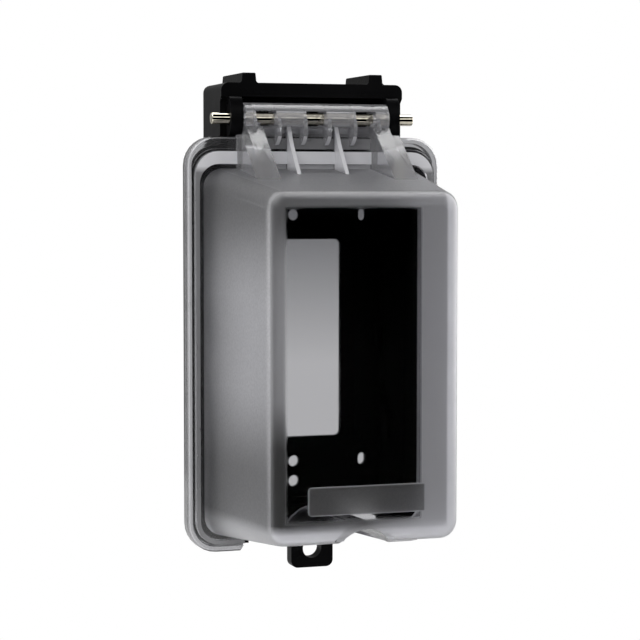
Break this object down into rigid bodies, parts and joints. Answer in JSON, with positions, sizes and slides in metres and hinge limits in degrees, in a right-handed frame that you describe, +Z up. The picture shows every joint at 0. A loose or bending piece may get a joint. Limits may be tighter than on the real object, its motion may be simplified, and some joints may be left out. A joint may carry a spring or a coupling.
{
  "type": "weatherproof electrical box",
  "caption": "Weatherproof outdoor box for one wall device: black back box, clear bubble cover on a steel hinge pin, padlock tab and cord exits below.",
  "frame": {"origin": "on the wall plane, at the centre of the device opening", "axes": "+Z up, +X to the right of someone who faces the box, -Y out of the wall towards them; the wall plane is Y = 0"},
  "size_m": [0.0862, 0.0783, 0.1622],
  "materials": {
    "black_moulded_plastic": "smooth moulded, semi-gloss",
    "clear_polycarbonate": "clear polished front, frosted side walls",
    "nickel_steel": "plated, bright, slightly yellow",
    "black_foam": "closed-cell foam"
  },
  "bodies": {
    "base": {"base_housing": "black_moulded_plastic", "wall_gasket": "black_foam", "hinge_pin": "nickel_steel"},
    "cover": {"bubble_cover": "clear_polycarbonate"}
  },
  "joints": [
    {"name": "cover_hinge", "type": "hinge", "parent": "base", "child": "cover", "pos_m": [0, -0.0259, 0.0729], "axis": [-1, 0, 0], "range_deg": [0, 120]}
  ]
}
